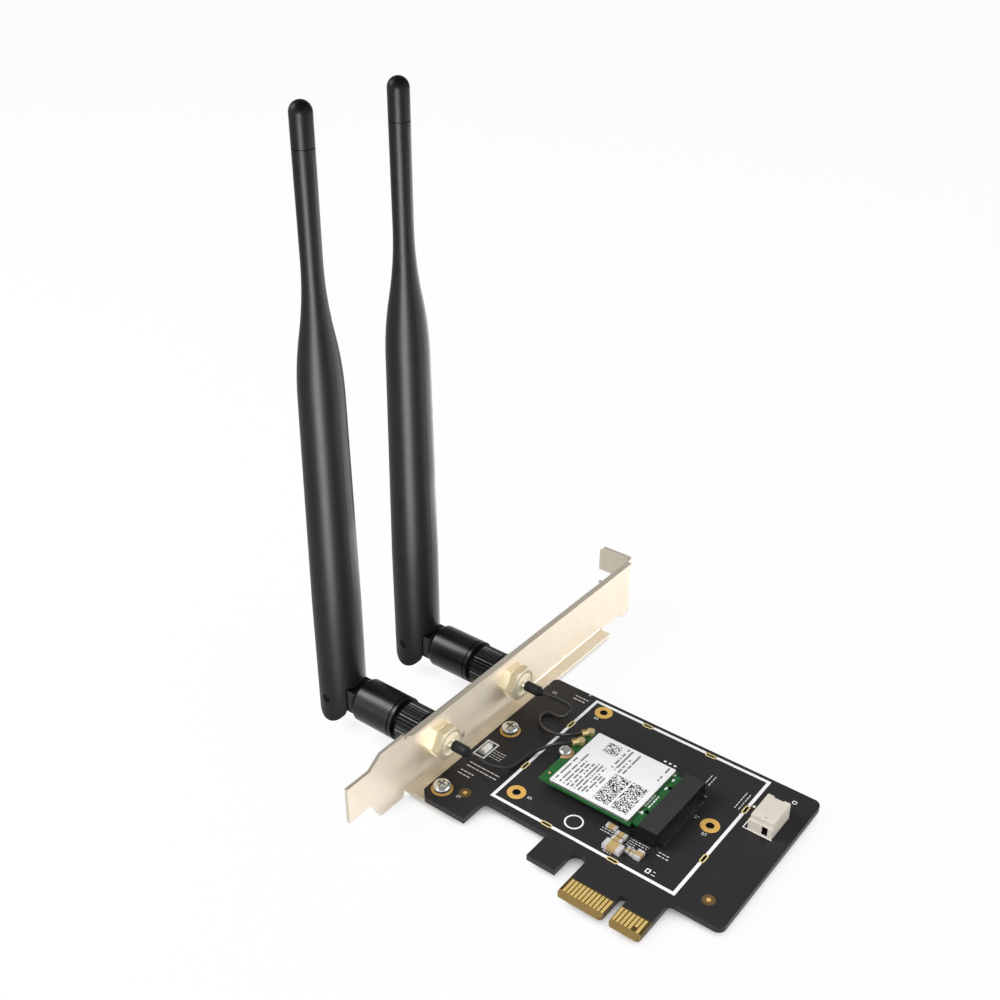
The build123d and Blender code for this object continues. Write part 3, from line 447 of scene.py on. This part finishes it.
# Plated metals: dark and light tone, least and most roughness, marks per millimetre, their depth,
# how metallic the surface is and, where the marks run one way, their stretch along the axes
along_y = (1, 0.08, 1)
along_bracket = (1, 0.06, 1)
round_jack = (1, 0.1, 0.1)
plated = {
    "edge_gold": ((222, 188, 108), (236, 206, 132), (0.38, 0.5), 6.0, 0.002, 0.35, along_y),
    "ring_gold": ((234, 182, 92), (244, 200, 112), (0.42, 0.55), 3.0, 0.003, 0.3),
    "rim_gold": ((232, 214, 150), (246, 232, 172), (0.4, 0.52), 3.0, 0.003, 0.3),
    "bracket_nickel": (
        (228, 216, 196), (238, 228, 210), (0.34, 0.42), 1.2, 0.002, 0.34, along_bracket
    ),
    "screw_chrome": ((206, 206, 207), (226, 226, 226), (0.1, 0.22), 2.0, 0.003, 1.0),
    "jack_gold": ((242, 230, 198), (250, 240, 210), (0.24, 0.34), 3.0, 0.003, 0.3, round_jack),
    "ferrule_tin": ((206, 205, 202), (224, 223, 220), (0.24, 0.4), 3.0, 0.004, 1.0),
    "pin_tin": ((150, 149, 148), (182, 181, 180), (0.2, 0.36), 3.0, 0.004, 1.0),
    # The post's steel is painted near-black as shade, far darker than bare steel
    "post_shade_steel": ((52, 52, 53), (66, 66, 67), (0.4, 0.55), 3.0, 0.004, 1.0),
    "end_tin": ((210, 207, 207), (232, 229, 229), (0.3, 0.45), 3.0, 0.004, 0.25),
    "plug_gold": ((222, 194, 136), (242, 220, 168), (0.16, 0.28), 3.0, 0.0006, 0.65),
}
# Plain surfaces: dark and light tone, least and most roughness, grains per millimetre, their depth
# and how strong the mirrored light is
plain = {
    "shrink_sleeve": ((24, 24, 26), (36, 36, 38), (0.42, 0.55), 5.0, 0.01, 0.3),
    "cable_jacket": ((26, 25, 25), (38, 36, 36), (0.3, 0.4), 6.0, 0.006, 0.5),
    "chip_ceramic": ((176, 150, 96), (202, 176, 122), (0.4, 0.55), 4.0, 0.008, 0.5),
    "antenna_plastic": ((3, 3, 3), (5, 5, 6), (0.37, 0.44), 4.0, 0.004, 0.1),
    "nut_plastic": ((9, 9, 10), (14, 14, 15), (0.26, 0.34), 4.0, 0.004, 0.24),
    "insulator": ((226, 226, 222), (236, 236, 232), (0.4, 0.5), 4.0, 0.006, 0.5),
    "print_ink": ((246, 246, 246), (252, 252, 252), (0.5, 0.62), 4.0, 0.01, 0.2),
}
finishes = {
    "solder_mask": solder_mask(),
    "label_paper": label_paper(),
    "module_mask": module_mask(),
    "module_copper": module_copper(),
    "socket_plastic": socket_plastic(),
    "header_nylon": header_nylon(),
    "lamp_resin": lamp_resin(),
}
for name, recipe in plated.items():
    finishes[name] = plated_finish(name, *recipe)
for name, recipe in plain.items():
    finishes[name] = plain_finish(name, *recipe)

node_finish = {
    "circuit_board": "solder_mask",
    "contacts_top": "edge_gold",
    "contacts_bottom": "edge_gold",
    "ring_pads": "ring_gold",
    "slot_rims": "rim_gold",
    "bracket": "bracket_nickel",
    "bracket_screws": "screw_chrome",
    "module_board": "module_mask",
    "module_contacts": "module_copper",
    "module_shield": "ferrule_tin",
    "module_label": "label_paper",
    "module_receptacles": "plug_gold",
    "module_post": "post_shade_steel",
    "module_screw": "screw_chrome",
    "socket_housing": "socket_plastic",
    "socket_contacts": "pin_tin",
    "socket_hold_downs": "pin_tin",
    "header_housing": "header_nylon",
    "header_pins": "ferrule_tin",
    "chip_bodies": "chip_ceramic",
    "chip_terminals": "end_tin",
    "indicator_led": "lamp_resin",
}
# Nodes that are there once on the front side and once on the rear side
paired_finish = {
    "jack": "jack_gold",
    "jack_nut": "jack_gold",
    "lock_nut": "jack_gold",
    "jack_insulator": "insulator",
    "jack_contact": "edge_gold",
    "ferrule": "ferrule_tin",
    "cable_sleeve": "shrink_sleeve",
    "coax_plug": "plug_gold",
    "cable": "cable_jacket",
    "coupling_nut": "nut_plastic",
    "plug_core": "jack_gold",
    "plug_insulator": "insulator",
    "plug_contact": "edge_gold",
    "hinge_base": "nut_plastic",
    "antenna_shell": "antenna_plastic",
    "hinge_pin": "antenna_plastic",
    "radiator": "plug_gold",
    "antenna_tip": "antenna_plastic",
}
for stem, finish in paired_finish.items():
    for side in SIDES:
        node_finish[f"{stem}_{side}"] = finish


def coat(piece, finish):
    """Puts one finish on the whole of a piece."""
    piece.data.materials.clear()
    piece.data.materials.append(finishes[finish].material)


for node, finish in node_finish.items():
    coat(nodes[node], finish)


def deselect():
    """Leaves object mode with nothing selected."""
    if bpy.context.object and bpy.context.object.mode != "OBJECT":
        bpy.ops.object.mode_set(mode="OBJECT")
    bpy.ops.object.select_all(action="DESELECT")


def metres(point):
    """A point in millimetres as Blender's own lengths."""
    return tuple(part * MM for part in point)


def blank(name):
    """An empty mesh at the origin, open in edit mode."""
    deselect()
    bpy.ops.mesh.primitive_plane_add(size=MM, location=(0, 0, 0))
    piece = bpy.context.object
    piece.name = name
    bpy.ops.object.mode_set(mode="EDIT")
    bpy.ops.mesh.delete(type="VERT")
    return piece


# Thin coax cables: the same points as the solids' runs, on a smooth spline
cable_radius = 0.405
cable_points = {
    "front": (
        (-50.6, 17.5, 6.9),
        (-49.1, 17.5, 6.9),
        (-47.3, 18.7, 4.9),
        (-46.3, 21.0, 2.8),
        (-45.2, 23.4, 1.3),
        (-44.2, 25.9, 0.6),
        (-44.2, 29.3, 0.48),
        (-43.6, 32.6, 0.75),
        (-41.6, 35.0, 1.8),
        (-39.5, 36.3, 3.2),
        (-36.6, 37.68, 4.1),
        (-35.68, 38.86, 4.1),
    ),
    "rear": (
        (-50.6, 47.2, 6.9),
        (-49.1, 47.2, 6.9),
        (-46.3, 49.3, 5.4),
        (-44.2, 50.9, 3.4),
        (-43.9, 48.9, 1.7),
        (-46.3, 48.1, 0.65),
        (-49.5, 48.5, 0.48),
        (-50.6, 46.6, 0.48),
        (-49.6, 44.1, 0.48),
        (-47.3, 42.2, 0.65),
        (-44.0, 41.0, 1.5),
        (-40.4, 40.4, 2.9),
        (-36.6, 41.98, 4.1),
        (-35.68, 43.16, 4.1),
    ),
}

# Crimped collars on the necks of the coax plugs
crimp_sides = 8
crimp_radius = 0.8
crimp_wall = 0.1
crimp_length = 1.65
crimp_mouth = 1.12
crimp_edge = 0.03
crimp_seam_from = 0.9 * crimp_radius


def thicken(piece, thickness, offset):
    """Gives a piece's faces a thickness, outwards with an offset of 1 and both ways with 0."""
    wall = piece.modifiers.new("wall", "SOLIDIFY")
    wall.thickness = thickness * MM
    wall.offset = offset
    bpy.ops.object.modifier_apply(modifier=wall.name)


def crimp(side):
    """A folded collar round a plug's neck, open along its top and wider at the cable's end."""
    lead, neck = (Vector(point) for point in cable_points[side][-2:])
    out = (lead - neck).normalized()
    flat_up = Matrix.Rotation(math.pi / crimp_sides, 4, "Z")
    turn = out.to_track_quat("Z", "Y").to_matrix().to_4x4() @ flat_up
    piece = blank(f"plug_crimp_{side}")
    bpy.ops.mesh.primitive_circle_add(
        vertices=crimp_sides,
        radius=crimp_radius * MM,
        fill_type="NOTHING",
        location=metres(neck - out * crimp_length),
        rotation=turn.to_euler(),
    )
    bpy.ops.mesh.extrude_region_move(TRANSFORM_OT_translate={"value": metres(out * crimp_length)})
    bpy.ops.transform.resize(value=(crimp_mouth,) * 3, center_override=metres(neck))
    bpy.ops.mesh.select_all(action="SELECT")
    bpy.ops.mesh.normals_make_consistent(inside=False)
    bpy.ops.mesh.select_all(action="DESELECT")
    bpy.ops.mesh.select_mode(type="FACE")
    bpy.ops.object.mode_set(mode="OBJECT")
    for face in piece.data.polygons:
        face.select = face.center.z > (neck.z + crimp_seam_from) * MM
    bpy.ops.object.mode_set(mode="EDIT")
    bpy.ops.mesh.delete(type="FACE")
    bpy.ops.mesh.select_mode(type="VERT")
    bpy.ops.object.mode_set(mode="OBJECT")
    thicken(piece, crimp_wall, 0.0)
    edges = piece.modifiers.new("edges", "BEVEL")
    edges.width = crimp_edge * MM
    edges.segments = 2
    bpy.ops.object.modifier_apply(modifier=edges.name)
    coat(piece, "plug_gold")
    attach(piece, "card")
    return piece


def lay_cable(side):
    """One cable as a smooth tube along its points."""
    line = bpy.data.curves.new(f"coax_{side}", "CURVE")
    line.dimensions = "3D"
    line.bevel_depth = cable_radius * MM
    line.bevel_resolution = 5
    line.resolution_u = 16
    line.use_fill_caps = True
    points = cable_points[side]
    spline = line.splines.new("NURBS")
    spline.points.add(len(points) - 1)
    for knot, point in zip(spline.points, points):
        knot.co = (*metres(point), 1.0)
    spline.order_u = 3
    spline.use_endpoint_u = True
    piece = bpy.data.objects.new(f"coax_{side}", line)
    bpy.context.scene.collection.objects.link(piece)
    coat(piece, "cable_jacket")
    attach(piece, "card")
    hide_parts(f"cable_{side}")
    metres(points[0])
    crimp(side)


for side in SIDES:
    lay_cable(side)

# White print on the board and on the module: lines, frames, rings and rows of plain dashes
ink_gap = 0.004
ink_thick = 0.016
ring_steps = 48
dash_lengths = (0.9, 0.5, 0.7, 0.6)  # shares of a row's height, taken in turn
dash_gap = 0.25
dash_shortest = 0.15


class Print:
    """A thin layer of ink on one level, laid stroke by stroke in edit mode."""

    def __init__(self, name, level):
        self.level = level + ink_gap
        self.piece = blank(name)

    def place(self, x, y):
        return metres((x, y, self.level))

    def bar(self, x, y, width, depth):
        """A rectangle of ink about a point."""
        place = self.place(x, y)
        bpy.ops.mesh.primitive_plane_add(size=MM, location=place)
        bpy.ops.transform.resize(value=(width, depth, 1), center_override=place)

    def field(self, low_x, high_x, low_y, high_y):
        """A rectangle of ink between two corners."""
        self.bar((low_x + high_x) / 2, (low_y + high_y) / 2, high_x - low_x, high_y - low_y)

    def frame(self, low_x, high_x, low_y, high_y, line):
        """A rectangle drawn with a line, measured outside."""
        self.field(low_x, high_x, low_y, low_y + line)
        self.field(low_x, high_x, high_y - line, high_y)
        self.field(low_x, low_x + line, low_y + line, high_y - line)
        self.field(high_x - line, high_x, low_y + line, high_y - line)

    def circle(self, x, y, radius, steps, fill):
        """A regular outline about a point, filled or not."""
        place = self.place(x, y)
        bpy.ops.mesh.primitive_circle_add(
            vertices=steps, radius=radius * MM, fill_type=fill, location=place
        )

    def ring(self, x, y, radius, line):
        """A round line about a point."""
        outer = radius + line / 2
        inner = (radius - line / 2) / outer
        self.circle(x, y, outer, ring_steps, "NOTHING")
        bpy.ops.mesh.extrude_region_move()
        bpy.ops.transform.resize(value=(inner, inner, 1), center_override=self.place(x, y))

    def wedge(self, x, y, radius):
        """A small solid triangle."""
        self.circle(x, y, radius, 3, "NGON")

    def dashes(self, x, y, reach, height, line, turned=False):
        """Two rows of plain dashes about a point, along x, or along y where turned."""
        for number, row in enumerate((-0.5, 0.5)):
            off = row * (height - line)
            start = -reach / 2
            step = number
            while start < reach / 2 - dash_shortest:
                length = dash_lengths[step % len(dash_lengths)] * height
                end = min(start + length, reach / 2)
                middle = (start + end) / 2
                if turned:
                    self.bar(x - off, y + middle, line, end - start)
                else:
                    self.bar(x + middle, y + off, end - start, line)
                start = end + dash_gap
                step += 1

    def dry(self, body):
        """Turns every face up, gives the ink its thickness and lets it ride."""
        bpy.ops.object.mode_set(mode="OBJECT")
        for face in self.piece.data.polygons:
            face.select = face.normal.z < 0
        bpy.ops.object.mode_set(mode="EDIT")
        bpy.ops.mesh.flip_normals()
        bpy.ops.object.mode_set(mode="OBJECT")
        thicken(self.piece, ink_thick, 1.0)
        coat(self.piece, "print_ink")
        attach(self.piece, body)


def line_with_gaps(low, high, gaps, half):
    """The stretches of a line that are left between its gaps."""
    marks = [low] + [edge for gap in gaps for edge in (gap - half, gap + half)] + [high]
    return list(zip(marks[::2], marks[1::2]))


# The long frame, open at the shield slots
frame_low_x, frame_high_x = -42.5, 8.05
frame_low_y, frame_high_y = 15.5, 60.35
half_line = 0.42
slot_half = 1.55
side_slots = (28.7, 48.5)
end_slots = (-26.5, -8.0)
lines_x = line_with_gaps(frame_low_x - half_line, frame_high_x + half_line, end_slots, slot_half)
lines_y = line_with_gaps(frame_low_y + half_line, frame_high_y - half_line, side_slots, slot_half)

# Small frames: low and high x, low and high y, and line
board_frames = ((-55.8, -52.15, 24.2, 30.7, 0.45), (-0.55, 0.6, 17.0, 18.4, 0.28))
# Rings: middle, radius and line
board_rings = ((-21.84, 20.06, 2.15, 0.42), (16.13, 57.8, 0.5, 0.25))
# The corner line at the wire header: low and high x, low and high y
header_lines = ((10.1, 17.6, 42.95, 43.2), (10.1, 10.35, 43.2, 51.2))
# Wedges: middle and radius
board_wedges = ((9.1, 50.66, 0.6), (-45.4, 61.4, 0.45))
# Small squares: middle, width and depth
board_squares = ((-15.9, 51.3, 0.7, 0.6), (-14.5, 51.3, 0.7, 0.6), (-13.1, 51.3, 0.7, 0.6))
# Rows of dashes: middle, reach, height, line and whether they run along y
dash_rows = (
    (-46.4, 58.4, 4.0, 1.5, 0.26, False),
    (-57.1, 58.8, 0.9, 1.2, 0.23, False),
    (-53.4, 56.5, 1.5, 0.8, 0.17, False),
    (-38.8, 54.5, 1.2, 0.7, 0.23, False),
    (-34.8, 20.1, 1.2, 0.7, 0.23, False),
    (-50.1, 28.0, 3.4, 1.0, 0.18, False),
    (-50.1, 26.3, 3.4, 1.0, 0.18, False),
    (-48.6, 10.0, 1.1, 0.7, 0.18, False),
    (-49.6, 20.7, 9.2, 1.6, 0.29, False),
    (-52.3, 17.3, 4.0, 1.5, 0.29, False),
    (4.2, 35.4, 1.2, 0.8, 0.2, False),
    (0.1, 39.2, 1.1, 0.8, 0.17, False),
    (6.1, 50.7, 6.4, 1.2, 0.18, True),
    (-3.6, 52.2, 3.8, 1.2, 0.18, True),
    (0.5, 23.6, 3.0, 1.2, 0.2, False),
    (1.6, 17.7, 1.0, 1.2, 0.2, False),
    (-10.5, 17.2, 2.2, 0.9, 0.18, False),
    (-14.1, 22.4, 3.2, 1.0, 0.18, False),
    (-6.0, 23.4, 5.2, 0.9, 0.18, False),
    (-7.3, 22.0, 2.4, 0.9, 0.18, False),
)

board_print = Print("board_print", 0.0)
for edge_y in (frame_low_y, frame_high_y):
    for start, end in lines_x:
        board_print.field(start, end, edge_y - half_line, edge_y + half_line)
for edge_x in (frame_low_x, frame_high_x):
    for start, end in lines_y:
        board_print.field(edge_x - half_line, edge_x + half_line, start, end)
for small_frame in board_frames:
    board_print.frame(*small_frame)
for ring in board_rings:
    board_print.ring(*ring)
for line in header_lines:
    board_print.field(*line)
for wedge in board_wedges:
    board_print.wedge(*wedge)
for square in board_squares:
    board_print.bar(*square)
for row in dash_rows:
    board_print.dashes(*row)
board_print.dry("card")

# Print on the module: one wedge, one pair of rows along y, and bars with middle, width and depth
module_wedge = (-9.35, 29.5, 0.75)
module_row = (-9.3, 34.1, 4.8, 1.2, 0.34, True)
module_bars = ((-9.0, 39.9, 0.5, 1.1), (-9.1, 43.4, 0.5, 0.9), (-9.7, 45.1, 0.4, 0.7))

module_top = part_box("module_board")[1].z / MM
module_print = Print("module_print", module_top)
module_print.wedge(*module_wedge)
module_print.dashes(*module_row)
for bar in module_bars:
    module_print.bar(*bar)
module_print.dry("card")

# Studio floor: a plain pale paint that looks white to the camera, with soft contact shadows
floor_size = 6.0  # in metres
floor_gap = 0.02
floor_white = 0.95
shadow_reach = 8
shadow_gain = 1.7
deselect()
bpy.ops.mesh.primitive_plane_add(size=floor_size, location=(0, 0, cad_low.z - floor_gap * MM))
floor = bpy.context.object
floor.name = "studio_floor"
floor_paint = Finish(
    "studio_floor", Base_Color=(0.8, 0.8, 0.8, 1), Roughness=0.9, Specular_IOR_Level=0.0
)
rays = ("Is Camera Ray", "Is Glossy Ray", "Is Transmission Ray")
seen = any_of([floor_paint.node("ShaderNodeLightPath", output=ray) for ray in rays])
paint = Reading(floor_paint, floor_paint.shader.outputs[0])
white = floor_paint.node("ShaderNodeEmission", inputs={"Color": (1, 1, 1, 1), "Strength": 1.0})
hollow = floor_paint.node(
    "ShaderNodeAmbientOcclusion", {"samples": 8}, {"Distance": shadow_reach * MM}, output="AO"
)
shown = floor_white * ((shadow_gain * hollow) & 1.0) * seen
both = floor_paint.node("ShaderNodeMixShader", inputs={0: shown, 1: paint, 2: white})
floor_paint.feed(floor_paint.tree.nodes["Material Output"].inputs["Surface"], both)
floor.data.materials.append(floor_paint.material)


class Sky(Finish):
    """The studio's walls and ceiling: white at the horizon, grey overhead."""

    def __init__(self, name, horizon, ceiling, ceiling_from):
        world = bpy.data.worlds.new(name)
        world.use_nodes = True
        bpy.context.scene.world = world
        self.tree = world.node_tree
        way = self.node("ShaderNodeTexCoord", output="Generated")
        height = self.node("ShaderNodeSeparateXYZ", inputs={0: way}, output=2)
        share = (height / ceiling_from) & 1.0 | 0.0
        light = self.tree.nodes["Background"].inputs
        self.feed(light["Strength"], between((horizon, ceiling), share))
        self.feed(light["Color"], (1, 1, 1, 1))


Sky("studio", horizon=1.0, ceiling=0.34, ceiling_from=0.42)


def softbox(name, place, target, size, power, only=(), but=()):
    """A soft lamp that looks at a point, for every piece, only for some nodes or not for some.

    Its width and height are metres and its power is watts.
    """
    lamp = bpy.data.lights.new(name, "AREA")
    lamp.shape = "RECTANGLE"
    lamp.size, lamp.size_y = size
    lamp.energy = power
    piece = bpy.data.objects.new(name, lamp)
    piece.location = metres(place)
    piece.rotation_euler = (Vector(target) - Vector(place)).to_track_quat("-Z", "Y").to_euler()
    piece.visible_camera = False
    bpy.context.scene.collection.objects.link(piece)
    if only or but:
        linked = bpy.data.collections.new(f"{name}_lights")
        piece.light_linking.receiver_collection = linked
        for node in (*only, *but):
            linked.objects.link(nodes[node])
        for entry in linked.collection_objects:
            entry.light_linking.link_state = "INCLUDE" if only else "EXCLUDE"


card_middle = (-40, 30, 30)
antenna_foot = (-80, 25, 8)
bracket_middle = (-58, 40, 5)
jack_middle = (-55, 30, 7)
jacks = [f"{stem}_{side}" for side in SIDES for stem in ("jack", "jack_nut")]
metal = ["bracket", *jacks]
softbox("key_lamp", (-514, -226, 496), antenna_foot, (0.25, 0.3), 4.0, but=metal)
softbox("front_lamp", (-570, -745, 375), card_middle, (1.0, 1.0), 5.0, but=metal)
softbox("right_lamp", (600, 240, 220), card_middle, (0.8, 0.8), 2.6)
bracket_lit = [*metal, "indicator_led"]
softbox("bracket_lamp", (330, 480, 70), bracket_middle, (0.5, 0.12), 2.5, only=bracket_lit)
softbox("jack_lamp", (40, -420, 20), jack_middle, (0.3, 0.1), 4.0, only=jacks)

# Strip lamps that draw the long lines of light on each antenna: x, y from its axis, height,
# width and height in metres, and power
antenna_axis_x = -93.6
antenna_axis_y = {"front": 17.5, "rear": 47.2}
antenna_lamps = {
    "strip": (-52.7, -80.2, 70, (0.045, 0.15), 0.88),
    "rim": (-53.6, 70, 62, (0.18, 0.13), 0.34),
    "low_strip": (-82.2, -22.3, 21, (0.012, 0.05), 0.011),
    "low_rim": (-86.2, 13, 23, (0.026, 0.054), 0.01),
}
for side, axis_y in antenna_axis_y.items():
    antenna = [f"antenna_shell_{side}", f"antenna_tip_{side}"]
    for stem, (x, off_y, z, size, power) in antenna_lamps.items():
        target = (antenna_axis_x, axis_y, z)
        softbox(f"{stem}_{side}", (x, axis_y + off_y, z), target, size, power, only=antenna)

# The photo's camera
camera_place = (99.5, -165.4, 213.9)
camera_right = Vector((0.7900, 0.6131, 0.0027))
camera_forward = Vector((-0.5310, 0.6860, -0.4980))
view = bpy.data.cameras.new("photo_camera")
view.sensor_width = 36.0
view.lens = 45.72
view.clip_start, view.clip_end = 0.01, 20.0
camera = bpy.data.objects.new("photo_camera", view)
bpy.context.scene.collection.objects.link(camera)
camera_back = -camera_forward.normalized()
camera_up = camera_back.cross(camera_right).normalized()
camera_side = camera_up.cross(camera_back)
turn = Matrix((camera_side, camera_up, camera_back)).transposed()
camera.matrix_world = Matrix.Translation(metres(camera_place)) @ turn.to_4x4()
bpy.context.scene.camera = camera
bpy.context.scene.view_settings.view_transform = "Standard"
